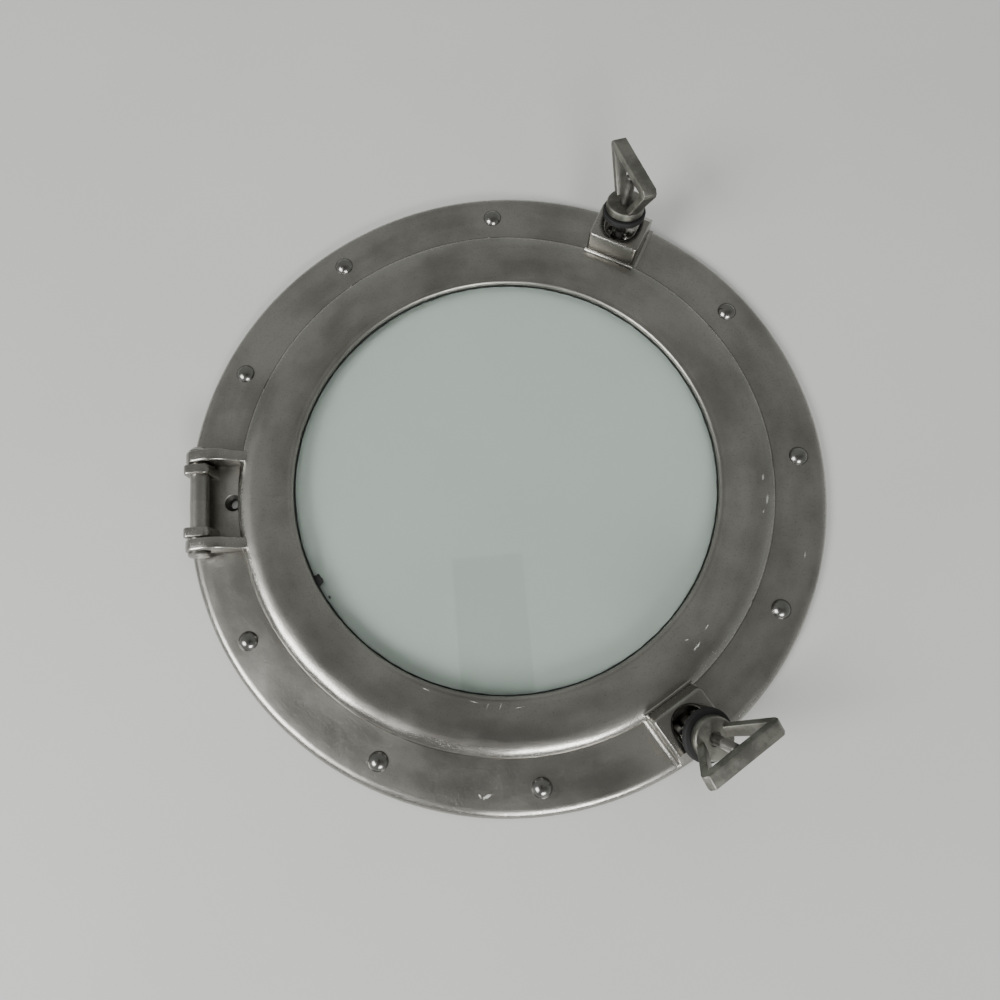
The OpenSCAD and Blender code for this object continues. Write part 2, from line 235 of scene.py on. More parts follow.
class Shader:
    """A material, built node by node."""

    def __init__(self, name="", world=None):
        self.material = world or bpy.data.materials.new(name)
        self.material.use_nodes = True
        self.tree = self.material.node_tree
        self.tree.nodes.clear()

    def node(self, kind, settings=None, sockets=None, output=0):
        """Adds a node: its settings first, then the values or wires of its sockets."""
        made = self.tree.nodes.new(kind)
        for name, value in (settings or {}).items():
            setattr(made, name, value)
        for name, value in (sockets or {}).items():
            socket = made.inputs[name]
            if isinstance(value, Wire):
                self.tree.links.new(value.socket, socket)
            else:
                socket.default_value = (*value, 1) if socket.type == "RGBA" else value
        return Wire(self, made.outputs[output]) if made.outputs else made

    def place(self):
        """Object coordinates."""
        return self.node("ShaderNodeTexCoord", output="Object")

    def split(self, vector):
        """The three parts of a vector."""
        made = self.node("ShaderNodeSeparateXYZ", sockets={0: vector}).socket.node
        return [Wire(self, part) for part in made.outputs]

    def join(self, x, y, z):
        """A vector from three parts."""
        return self.node("ShaderNodeCombineXYZ", sockets={0: x, 1: y, 2: z})

    def noise(self, vector, scale, detail=3.0, roughness=0.5):
        """Smooth noise from 0 to 1, about scale lumps a metre."""
        sockets = {"Vector": vector, "Scale": scale, "Detail": detail, "Roughness": roughness}
        return self.node("ShaderNodeTexNoise", {"normalize": True}, sockets)

    def mix(self, factor, a, b):
        """A colour between a and b."""
        first, second, result = 6, 7, 2
        sockets = {0: factor, first: a, second: b}
        return self.node("ShaderNodeMix", {"data_type": "RGBA"}, sockets, result)

    def bump(self, height, distance, strength=1.0, normal=None):
        """A normal from a height in metres."""
        sockets = {"Height": height, "Distance": distance, "Strength": strength}
        if normal:
            sockets["Normal"] = normal
        return self.node("ShaderNodeBump", sockets=sockets)

    def finish(self, **sockets):
        """Ends the material in one Principled shader."""
        named = {name.replace("_", " "): value for name, value in sockets.items()}
        surface = self.node("ShaderNodeBsdfPrincipled", sockets=named)
        self.node("ShaderNodeOutputMaterial", sockets={"Surface": surface})
        return self.material


def round_window(shader):
    """The distance from the window's axis, the angle round it, and the height."""
    x, y, z = shader.split(shader.place())
    radius = (x * x + y * y) ** 0.5
    return radius, y.math("ARCTAN2", x), z


def satin_metal(name, light, dull, polish_from=None, marks=(), gloss=0.0, hole=None):
    """Cast aluminium, sanded and half polished: a fine grain, cloudy patches and faint sanding marks."""
    shader = Shader(name)
    place = shader.place()
    radius, angle, height = round_window(shader)
    cloud = shader.noise(place, 17, 4, 0.6)
    smear = shader.noise(shader.join(radius * 60, angle * 2.2, height * 60), 1.0, 3)
    grain = shader.noise(place, 950, 3, 0.65)
    pits = shader.noise(place, 1900, 2, 0.5).above(0.56, 0.7)
    sanding = shader.noise(shader.join(radius * 1500, angle * 14, height * 900), 1.0, 2)
    patch = (cloud * 0.6 + smear * 0.4).above(0.36, 0.62)
    deep = tuple(c * 0.55 for c in dull)
    colour = shader.mix(patch, dull, light)
    colour = shader.mix((grain.above(0.5, 0.78) * 0.35 + pits * 0.3), colour, deep)
    rough = 0.24 - gloss + patch * 0.05 + grain * 0.10 + sanding * 0.04
    if polish_from:
        rough = rough - radius.above(*polish_from) * 0.11
    skin = grain * 0.6 + sanding * 0.25 - pits * 0.5
    if hole:
        # Painted shade: the screw hole's mouth is painted near black, standing in for the shade inside it
        hole_shade = painted_hole_shade(shader, place, *hole)
        colour = shader.mix(hole_shade * 0.85, colour, (0.02, 0.02, 0.018))
        rough = rough + hole_shade * 0.2
    if marks:
        scuff = scuffs(shader, place, marks)
        colour = shader.mix(scuff * 0.8, colour, (0.86, 0.86, 0.83))
        rough = rough + scuff * 0.25
        skin = skin - scuff * 1.5
    waves = shader.bump(shader.noise(place, 30, 2), 0.0018, 0.4)
    waves = shader.bump(shader.noise(place, 120, 2), 0.0003, 0.12, waves)
    normal = shader.bump(skin, 0.00010, 0.55, waves)
    return shader.finish(Base_Color=colour, Metallic=1.0, Roughness=rough, Normal=normal)


def painted_hole_shade(shader, place, x, reach):
    """1 in a hole whose shade is painted dark. The hole is on the X axis, and the painted shade fills its
    reach.
    """
    flat = shader.node("ShaderNodeVectorMath", {"operation": "MULTIPLY"}, {0: place, 1: (1, 1, 0)})
    off = shader.node(
        "ShaderNodeVectorMath", {"operation": "DISTANCE"}, {0: flat, 1: (x, 0, 0)}, output="Value"
    )
    return 1 - off.above(reach - 0.4 * MM, reach)


def scuffs(shader, place, marks):
    """1 on a pale scuff or scratch. A mark is its middle, its half length and width, and its direction."""
    total = None
    streaks = shader.noise(place, 2600, 2, 0.7)
    for x, y, half_length, half_width, turn in marks:
        local = shader.node("ShaderNodeMapping", {"vector_type": "TEXTURE"}, {
            "Vector": place, "Location": (x * MM, y * MM, 0.010),
            "Rotation": (0, 0, math.radians(turn)), "Scale": (half_length * MM, half_width * MM, 0.02),
        })
        away = shader.node("ShaderNodeVectorMath", {"operation": "LENGTH"}, {0: local}, output="Value")
        mark = (away * -1.0 + streaks * 1.6).above(0.05, 0.45)
        total = mark if total is None else total.math("MAXIMUM", mark)
    return total


def rough_metal(name, light, dull):
    """Sand-cast aluminium that was never polished."""
    shader = Shader(name)
    place = shader.place()
    cloud = shader.noise(place, 90, 4, 0.6)
    sand = shader.noise(place, 1300, 4, 0.7)
    scratch = shader.noise(shader.node(
        "ShaderNodeMapping", sockets={"Vector": place, "Scale": (300, 2400, 700), "Rotation": (0.4, 0.2, 0.9)}
    ), 1.0, 2)
    colour = shader.mix(cloud.above(0.38, 0.62), dull, light)
    colour = shader.mix(sand.above(0.5, 0.75) * 0.4, colour, tuple(c * 0.6 for c in dull))
    rough = 0.36 + cloud * 0.12 + sand * 0.08
    normal = shader.bump(sand * 0.8 + scratch * 0.2, 0.00016, 0.75)
    return shader.finish(Base_Color=colour, Metallic=1.0, Roughness=rough, Normal=normal)


def bright_metal(name, light):
    """Polished metal with fine wiping scratches."""
    shader = Shader(name)
    place = shader.place()
    cloud = shader.noise(place, 220, 3)
    scratch = shader.noise(shader.node(
        "ShaderNodeMapping", sockets={"Vector": place, "Scale": (2600, 500, 900), "Rotation": (0.2, 0.7, 0.5)}
    ), 1.0, 2)
    colour = shader.mix(cloud.above(0.35, 0.7) * 0.5, light, tuple(c * 0.6 for c in light))
    normal = shader.bump(scratch, 0.00006, 0.4)
    return shader.finish(Base_Color=colour, Metallic=1.0, Roughness=0.17 + cloud * 0.12, Normal=normal)


def rubber(name, colour):
    """Matt black rubber with a faint bloom."""
    shader = Shader(name)
    place = shader.place()
    bloom = shader.noise(place, 300, 4, 0.6)
    tint = shader.mix(bloom.above(0.5, 0.8) * 0.35, colour, tuple(c * 3 for c in colour))
    normal = shader.bump(shader.noise(place, 1500, 2), 0.0001, 0.5)
    return shader.finish(Base_Color=tint, Roughness=0.62 + bloom * 0.12, Normal=normal)


def clear_glass(name, colour):
    """Glass that lamps shine through. A faint film of wiping marks shows in its gloss."""
    shader = Shader(name)
    place = shader.place()
    film = shader.noise(place, 60, 4, 0.6)
    # The pane's colour is its faint green tint, and partly painted shade: darker than clear glass, standing
    # in for the shade on the floor beneath it
    pane = shader.node("ShaderNodeBsdfPrincipled", sockets={
        "Base Color": colour, "Roughness": 0.01 + film.above(0.45, 0.8) * 0.05,
        "Transmission Weight": 1.0, "IOR": 1.5,
    })
    clear = shader.node("ShaderNodeBsdfTransparent", sockets={"Color": (0.84, 0.87, 0.855)})
    lamp = shader.node("ShaderNodeLightPath", output="Is Shadow Ray")
    surface = shader.node("ShaderNodeMixShader", sockets={0: lamp, 1: pane, 2: clear})
    shader.node("ShaderNodeOutputMaterial", sockets={"Surface": surface})
    return shader.material


def floor_paint(name, colour):
    """The floor's own material."""
    shader = Shader(name)
    cloud = shader.noise(shader.place(), 3.2, 5, 0.6)
    tint = shader.mix(cloud.above(0.3, 0.7), colour, tuple(c * 0.95 for c in colour))
    return shader.finish(Base_Color=tint, Roughness=0.6)


# Pale scuffs, in millimetres and degrees: middle, half length, half width and direction
FLANGE_MARKS = (
    (-25.5, -177.0, 3.6, 1.2, 20), (-29.5, -176.4, 1.8, 0.7, 120), (168.0, -62.0, 3.0, 0.35, 70),
)
RING_MARKS = (
    (149.0, -16.0, 2.6, 0.8, 80), (149.5, -29.0, 4.0, 0.9, 75), (146.0, -36.0, 1.6, 0.5, 60),
    (104.0, -98.0, 2.5, 0.5, 50), (97.0, -108.0, 4.0, 0.8, 45), (92.0, -104.0, 1.5, 0.5, 20),
    (-28.0, -127.0, 4.2, 0.25, -18), (-21.0, -129.5, 2.4, 0.22, 60), (-14.0, -130.5, 2.4, 0.25, 65),
    (-54.0, -118.0, 3.2, 0.25, -30), (-4.0, -132.0, 3.6, 0.22, 5),
)
MATERIALS = {}


def screw_hole_x():
    """Where the screw hole by the hinge sits on the X axis, just outside the door ring."""
    sizes = bpy.context.scene.porthole_castings
    return -(FLANGE_R - sizes.land + SMALL_EDGE + sizes.screw_r)


def material(name):
    """One of the window's finishes, made the first time that it is asked for."""
    if name not in MATERIALS:
        finish = bpy.context.scene.porthole_finish
        light, dull, bright = tuple(finish.cast), tuple(finish.dull), tuple(finish.bright)
        nut = tuple(finish.nut)
        # The screw hole, whose shade is painted near black into the flange's colour
        hole = (screw_hole_x(), bpy.context.scene.porthole_castings.screw_mouth - 0.05 * MM)
        makers = {
            "flange_satin": lambda: satin_metal(
                name, light, dull, (FLANGE_R - 5 * MM, FLANGE_R - MM), FLANGE_MARKS, hole=hole
            ),
            "ring_satin": lambda: satin_metal(name, light, dull, (0.150, 0.157), RING_MARKS),
            "ear_satin": lambda: satin_metal(name, light, dull, gloss=0.09),
            "nut_rough": lambda: rough_metal(name, nut, tuple(c * 0.6 for c in nut)),
            "bright": lambda: bright_metal(name, bright),
            # Painted shade: the rivets are a darker copy of the bright metal, standing in for the dark
            # ceiling that their polished domes mirror
            "rivet": lambda: bright_metal(name, tuple(c * 0.42 for c in bright)),
            "pin_steel": lambda: satin_metal(name, light, dull),
            "dark_thread": lambda: rough_metal(name, dull, tuple(c * 0.4 for c in dull)),
            "rubber": lambda: rubber(name, tuple(finish.rubber)),
            "glass": lambda: clear_glass(name, tuple(finish.glass)),
            "floor": lambda: floor_paint(name, tuple(finish.floor)),
        }
        MATERIALS[name] = makers[name]()
    return MATERIALS[name]


# Mesh tools

def arc(centre, radius, start, end, steps=8):
    """Points along an arc, in degrees."""
    angles = [math.radians(start + (end - start) * k / steps) for k in range(steps + 1)]
    return [(centre[0] + radius * math.cos(a), centre[1] + radius * math.sin(a)) for a in angles]


def roll(outer, low_z, inner, high_z, steps):
    """Points up an elliptical roll, from a wall at the outer radius to a flat at the inner one."""
    quarter = arc((0, 0), 1, 0, 90, steps)
    return [(inner + (outer - inner) * x, low_z + (high_z - low_z) * y) for x, y in quarter]


def stretch(a, b, steps):
    """Points between two points, both left out."""
    return [(a[0] + (b[0] - a[0]) * k / steps, a[1] + (b[1] - a[1]) * k / steps) for k in range(1, steps)]


def round_rim(outer, start, end, edge, steps=4):
    """The outline of a disc's rim, from its lower flat to its upper one."""
    points = arc((outer - edge, start + edge), edge, -90, 0, steps)
    return points + arc((outer - edge, end - edge), edge, 0, 90, steps)


def spun(outline, steps=64, closed=True):
    """A bmesh of an outline in X and Z, turned once round Z. One that isn't closed ends on the axis."""
    mesh = bmesh.new()
    verts = [mesh.verts.new((x, 0, z)) for x, z in outline]
    pairs = list(zip(verts, verts[1:]))
    if closed:
        pairs.append((verts[-1], verts[0]))
    edges = [mesh.edges.new(pair) for pair in pairs]
    bmesh.ops.spin(
        mesh, geom=verts + edges, cent=(0, 0, 0), axis=(0, 0, 1),
        angle=math.tau, steps=steps, use_merge=True,
    )
    bmesh.ops.remove_doubles(mesh, verts=mesh.verts, dist=1e-6)
    bmesh.ops.recalc_face_normals(mesh, faces=mesh.faces)
    return mesh


def thicken(mesh, way):
    """Turns a bmesh's flat faces into a solid, by drawing them out along a vector."""
    made = bmesh.ops.extrude_face_region(mesh, geom=list(mesh.faces))
    drawn = [v for v in made["geom"] if isinstance(v, bmesh.types.BMVert)]
    bmesh.ops.translate(mesh, verts=drawn, vec=way)
    bmesh.ops.recalc_face_normals(mesh, faces=mesh.faces)
    return mesh


def slab(outline, width):
    """A bmesh of an outline in X and Z, given a width along Y."""
    mesh = bmesh.new()
    mesh.faces.new([mesh.verts.new((x, -width / 2, z)) for x, z in outline])
    return thicken(mesh, (0, width, 0))


def soften(mesh, width, segments=3, sharper_than=30, only=None):
    """Rounds the edges that are sharper than an angle."""
    limit = math.radians(sharper_than)
    edges = [
        e for e in mesh.edges
        if len(e.link_faces) == 2 and e.calc_face_angle(0) > limit and (only is None or only(e))
    ]
    bmesh.ops.bevel(
        mesh, geom=edges, offset=width, offset_type="OFFSET", segments=segments,
        profile=0.5, affect="EDGES", clamp_overlap=True, material=-1,
    )
    return mesh


def moved(mesh, matrix):
    """The bmesh, moved."""
    bmesh.ops.transform(mesh, matrix=matrix, verts=mesh.verts)
    return mesh


def merged(*meshes):
    """One bmesh that holds all the others' shells."""
    whole = bmesh.new()
    for mesh in meshes:
        part = bpy.data.meshes.new("part")
        mesh.to_mesh(part)
        mesh.free()
        whole.from_mesh(part)
        bpy.data.meshes.remove(part)
    return whole


def piece(name, mesh, body, finish, slot, *nodes, sharp=35):
    """Makes a finished piece from a bmesh, on its body, in place of its CAD nodes."""
    data = bpy.data.meshes.new(name)
    mesh.to_mesh(data)
    mesh.free()
    made = bpy.data.objects.new(name, data)
    bpy.context.scene.collection.objects.link(made)
    data.shade_smooth()
    data.set_sharp_from_angle(angle=math.radians(sharp))
    data.materials.append(material(finish))
    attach(made, body)
    if nodes:
        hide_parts(*nodes)
    return made


def carve(target, cutter):
    """Cuts a bmesh's shape out of a piece, and frees the cutter."""
    data = bpy.data.meshes.new("cutter")
    cutter.to_mesh(data)
    cutter.free()
    tool = bpy.data.objects.new("cutter", data)
    bpy.context.scene.collection.objects.link(tool)
    cut = target.modifiers.new("cut", "BOOLEAN")
    cut.operation = "DIFFERENCE"
    cut.solver = "EXACT"
    cut.object = tool
    bpy.context.view_layer.update()
    graph = bpy.context.evaluated_depsgraph_get()
    solid = bpy.data.meshes.new_from_object(target.evaluated_get(graph))
    target.modifiers.clear()
    old = target.data
    target.data = solid
    bpy.data.meshes.remove(old)
    bpy.data.objects.remove(tool)
    bpy.data.meshes.remove(data)


def uneven(mesh, radius, reach, amount, seed):
    """Hand polishing: sinks what is near a radius a little, by long and short waves round the rim."""
    slow, fast, shift = 3.5, 9, 0.4
    for vert in mesh.verts:
        distance = vert.co.xy.length
        near = max(0, 1 - abs(distance - radius) / reach)
        if near:
            angle = math.atan2(vert.co.y, vert.co.x)
            wave = noise.noise((slow * math.cos(angle), slow * math.sin(angle), seed))
            wave += 0.5 * noise.noise((fast * math.cos(angle), fast * math.sin(angle), seed + 5))
            vert.co.z += min(0, amount * near * (wave - shift))


def cove(width, reach, height, steps=6):
    """The small hollow fillet at the foot of a wall that faces -X, width long."""
    turns = [math.radians(90 * k / steps) for k in range(steps + 1)]
    hollow = [(-reach * (1 - math.sin(turn)), height * (1 - math.cos(turn))) for turn in turns]
    inside, below = 0.3 * MM, -0.6 * MM
    return slab([(inside, below), (-reach, below), *hollow, (inside, height)], width)


# Operators

class PORTHOLE_OT_flange(bpy.types.Operator):
    """Model the flange, its hinge knuckles and its dog lugs"""

    bl_idname = "porthole.flange"
    bl_label = "Flange"

    def execute(self, context):
        sizes = context.scene.porthole_castings
        top = sizes.flange_t
        sight = FLANGE_R - sizes.land - sizes.ring_w
        bore = sight + LIP_COVER + GLASS_GAP + sizes.spigot_w + SPIGOT_GAP
        flat = stretch((FLANGE_R - sizes.rim_round, top), (bore + SMALL_EDGE, top), 9)
        outline = [(bore, 0), (bore + 25 * MM, 0), (FLANGE_R - SMALL_EDGE, 0)]
        outline += arc((FLANGE_R - SMALL_EDGE, SMALL_EDGE), SMALL_EDGE, -90, 0, 3)[1:]
        outline += roll(FLANGE_R, 2 * SMALL_EDGE, FLANGE_R - sizes.rim_round, top, 12)
        outline += flat + [(bore + SMALL_EDGE, top), (bore, top - SMALL_EDGE)]
        flange = spun(outline, CAST_STEPS)
        uneven(flange, FLANGE_R - sizes.rim_round / 2, 9 * MM, sizes.polish_wave, 2)
        for vert in flange.verts:
            vert.co.z = max(vert.co.z, 0)
        made = piece(
            "flange", flange, "frame", "flange_satin", "cast_aluminium", "frame_ring", sharp=40
        )
        self.drill(made, sizes)
        made.data.set_sharp_from_angle(angle=math.radians(40))
        self.knuckles(sizes)
        for dog in DOGS:
            self.lug(dog, sizes, context.scene.porthole_dogs)
        return {"FINISHED"}

    def drill(self, flange, sizes):
        """The countersunk screw hole by the hinge."""
        hole_r, mouth_r, top, past = sizes.screw_r, sizes.screw_mouth, sizes.flange_t, 0.5 * MM
        drill = spun([
            (0, -MM), (hole_r, -MM), (hole_r, top - (mouth_r - hole_r)),
            (mouth_r + past, top + past), (mouth_r + past, top + 2 * MM), (0, top + 2 * MM),
        ], 48)
        carve(flange, moved(drill, Matrix.Translation((screw_hole_x(), 0, 0))))

    def knuckles(self, sizes):
        """Two squarish cast knuckles round the hinge pin."""
        half, corner = HINGE.z - sizes.flange_t - 0.3 * MM, 3.2 * MM
        space, width = 31.5 * MM, 6.1 * MM
        foot = sizes.flange_t - SINK - HINGE.z
        outline = [(-half - 0.6 * MM, foot), (half + 1.6 * MM, foot), (half + 0.3 * MM, foot + 3 * MM)]
        outline += arc((half - corner, half - corner), corner, 0, 90, 6)
        outline += arc((corner - half, half - corner), corner, 90, 180, 6)
        blocks = []
        for side in (-1, 1):
            mesh = soften(slab(outline, width), 1.1 * MM, 4, 50)
            place = HINGE + Vector((0, side * (space + width) / 2, 0))
            blocks.append(moved(mesh, Matrix.Translation(place)))
        piece("hinge_knuckles", merged(*blocks), "frame", "ear_satin", "cast_aluminium")

    def lug(self, dog, sizes, dogs):
        """Two cheeks round the bolt's eye, on a foot that runs out to the rim, and the pin's two heads."""
        reach = FLANGE_R - sizes.rim_round - PIVOT_R
        foot = sizes.flange_t - SINK
        outline = [(-dogs.eye_r, foot), (reach, foot), (reach, sizes.flange_t + SMALL_EDGE)]
        outline += arc((0, PIVOT.z), dogs.eye_r, 15, 180, 16)
        head = [(0, 0), (2.6 * MM, 0), (2.6 * MM, 0.2 * MM), (2.2 * MM, 0.6 * MM), (0, 0.7 * MM)]
        shells = []
        near = dogs.eye_w / 2 + dogs.eye_gap
        for side in (-1, 1):
            cheek = slab(outline, dogs.cheek_w)
            soften(cheek, 0.9 * MM, 3, 40, lambda e: max(v.co.z for v in e.verts) > foot + MM)
            shells.append(moved(cheek, Matrix.Translation((PIVOT_R, side * (near + dogs.cheek_w / 2), 0))))
            end = Matrix.Translation((PIVOT_R, side * (near + dogs.cheek_w), PIVOT.z))
            end = end @ Matrix.Rotation(-side * math.pi / 2, 4, "X")
            shells.append(moved(spun(head, 24, closed=False), end))
        mesh = moved(merged(*shells), rim_matrix(dog))
        piece(dog + "_lug", mesh, "frame", "ear_satin", "cast_aluminium")


class PORTHOLE_OT_door_ring(bpy.types.Operator):
    """Model the door ring, its hinge ears and its forked ears"""

    bl_idname = "porthole.door_ring"
    bl_label = "Door ring"

    def execute(self, context):
        sizes = context.scene.porthole_castings
        dogs = context.scene.porthole_dogs
        outer = FLANGE_R - sizes.land
        sight = outer - sizes.ring_w
        crest = sizes.flange_t + sizes.ring_h
        back = sizes.flange_t + DOOR_GAP
        pocket = GLASS_R + GLASS_GAP
        crest_in = outer - sizes.ring_round
        lip_in = sight + sizes.lip_round
        ledge = GLASS_FRONT + GLASS_GAP
        outline = [(outer - SMALL_EDGE, back), (outer, back + SMALL_EDGE)]
        outline += roll(outer, sizes.ring_side, crest_in, crest, 16)
        outline += self.face((crest_in, crest), (lip_in, sizes.lip_z))
        outline += arc((lip_in, sizes.lip_z - sizes.lip_round), sizes.lip_round, 82, 180, 8)
        outline += [
            (sight, ledge), (pocket, ledge), (pocket, GLASS_BACK),
            (pocket + sizes.spigot_w, GLASS_BACK), (pocket + sizes.spigot_w, back),
        ]
        ring = spun(outline, CAST_STEPS)
        uneven(ring, outer - 2 * MM, 7 * MM, sizes.polish_wave, 7)
        piece("door_ring_casting", ring, "door", "ring_satin", "cast_aluminium", "door_ring", sharp=40)
        for dog in DOGS:
            self.fork(dog, outer, back, crest, dogs)
        self.ears(sizes, back, crest)
        return {"FINISHED"}

    def face(self, start, end):
        """The ring's face: it leaves the crest in a soft roll and then falls straight to the lip."""
        shares = [k / 15 for k in range(1, 15)]
        return [
            (start[0] + (end[0] - start[0]) * share, start[1] + (end[1] - start[1]) * share ** 1.5)
            for share in shares
        ]

    def fork(self, dog, outer, back, crest, dogs):
        """A block with a slot that is open outwards. Its foot flares out in a small fillet."""
        inner, end, top = outer - 4 * MM, FLANGE_R - 4.5 * MM, dogs.fork_top
        flare, roundness = 2.2 * MM, 1.3 * MM
        levels = [(back, flare, 0)]
        for k in range(1, 6):
            height = flare * k / 5
            grown = flare - math.sqrt(flare ** 2 - (flare - height) ** 2)
            levels.append((back + height, grown, 0))
        levels.append((crest - 2 * MM, 0, 0))
        for k in range(6):
            turn = math.radians(18 * k)
            shrunk = roundness * (1 - math.cos(turn))
            levels.append((top - roundness + roundness * math.sin(turn), -shrunk, -shrunk))
        mesh = bmesh.new()
        rings = []
        for z, grow, wall in levels:
            lean = dogs.fork_slope * max(0, z - crest + 2 * MM) / (top - crest + 2 * MM)
            plan = self.fork_plan(inner + lean, inner + dogs.fork_wall, end, grow, wall, dogs)
            rings.append([
                mesh.verts.new((x, y, min(z, top - max(0, x - end + dogs.fork_chamfer)))) for x, y in plan
            ])
        for below, above in zip(rings, rings[1:]):
            for k, vert in enumerate(below):
                after = (k + 1) % len(below)
                mesh.faces.new((vert, below[after], above[after], above[k]))
        lid = rings[-1]
        bend = 2 * (CORNER_STEPS + 1)
        mesh.faces.new(rings[0])
        mesh.faces.new(lid[bend:bend + 4])
        mesh.faces.new(lid[-4:])
        mesh.faces.new(lid[:bend + 1] + lid[bend + 3:-3] + lid[-1:])
        bmesh.ops.remove_doubles(mesh, verts=mesh.verts, dist=1e-6)
        bmesh.ops.recalc_face_normals(mesh, faces=mesh.faces)
        foot = soften(cove(dogs.fork_w + 0.6 * MM, 1.9 * MM, 1.7 * MM), 0.25 * MM, 2, 60)
        foot = moved(foot, Matrix.Translation((inner + 0.1 * MM, 0, crest - 1.1 * MM)))
        whole = moved(merged(mesh, foot), rim_matrix(dog))
        piece(dog + "_forked_ear", whole, "door", "ear_satin", "cast_aluminium")

    def fork_plan(self, inner, slot_in, end, grow, wall, dogs):
        """The ear's plan, with its outside grown and its slot's wall grown."""
        half, slot, corner = dogs.fork_w / 2, dogs.fork_w / 2 - dogs.fork_arm, 2.5 * MM
        centre = slot_in + slot
        slot -= wall
        bend, side, out = end - dogs.fork_chamfer, half + grow, end + grow
        plan = arc((inner + corner, half - corner), corner + grow, 90, 180, CORNER_STEPS)
        plan += arc((inner + corner, corner - half), corner + grow, 180, 270, CORNER_STEPS)
        plan += [(bend, -side), (out, -side), (out, -slot), (bend, -slot)]
        plan += arc((centre, 0), slot, 270, 90, 24)
        return plan + [(bend, slot), (out, slot), (out, side), (bend, side)]

    def ears(self, sizes, back, crest):
        """Two arched ears that reach from the ring round the hinge pin."""
        width, inner = 7.3 * MM, 22.7 * MM
        radius = HINGE.z - back
        reach = sizes.land - (FLANGE_R + HINGE.x) + sizes.ring_round * 0.8
        arch = (
            (1, -1.6), (0.9, -0.4), (0.8, 1.6), (0.68, 4.6),
            (0.56, 7.2), (0.42, 8.9), (0.27, 9.4), (0.12, 9.1),
        )
        outline = [(0, back), (reach, back)]
        outline += [(reach * share, crest + rise * MM) for share, rise in arch]
        outline += [(x, HINGE.z + z * 1.1) for x, z in arc((0, 0), radius, 92, 180, 9)]
        outline += [(x, HINGE.z + z) for x, z in arc((0, 0), radius, 190, 260, 7)]
        shells = []
        for side in (-1, 1):
            mesh = soften(slab(outline, width), 1.3 * MM, 4, 45)
            shells.append(moved(mesh, Matrix.Translation((HINGE.x, side * (inner + width / 2), 0))))
        piece("hinge_ears", merged(*shells), "door", "ear_satin", "cast_aluminium")


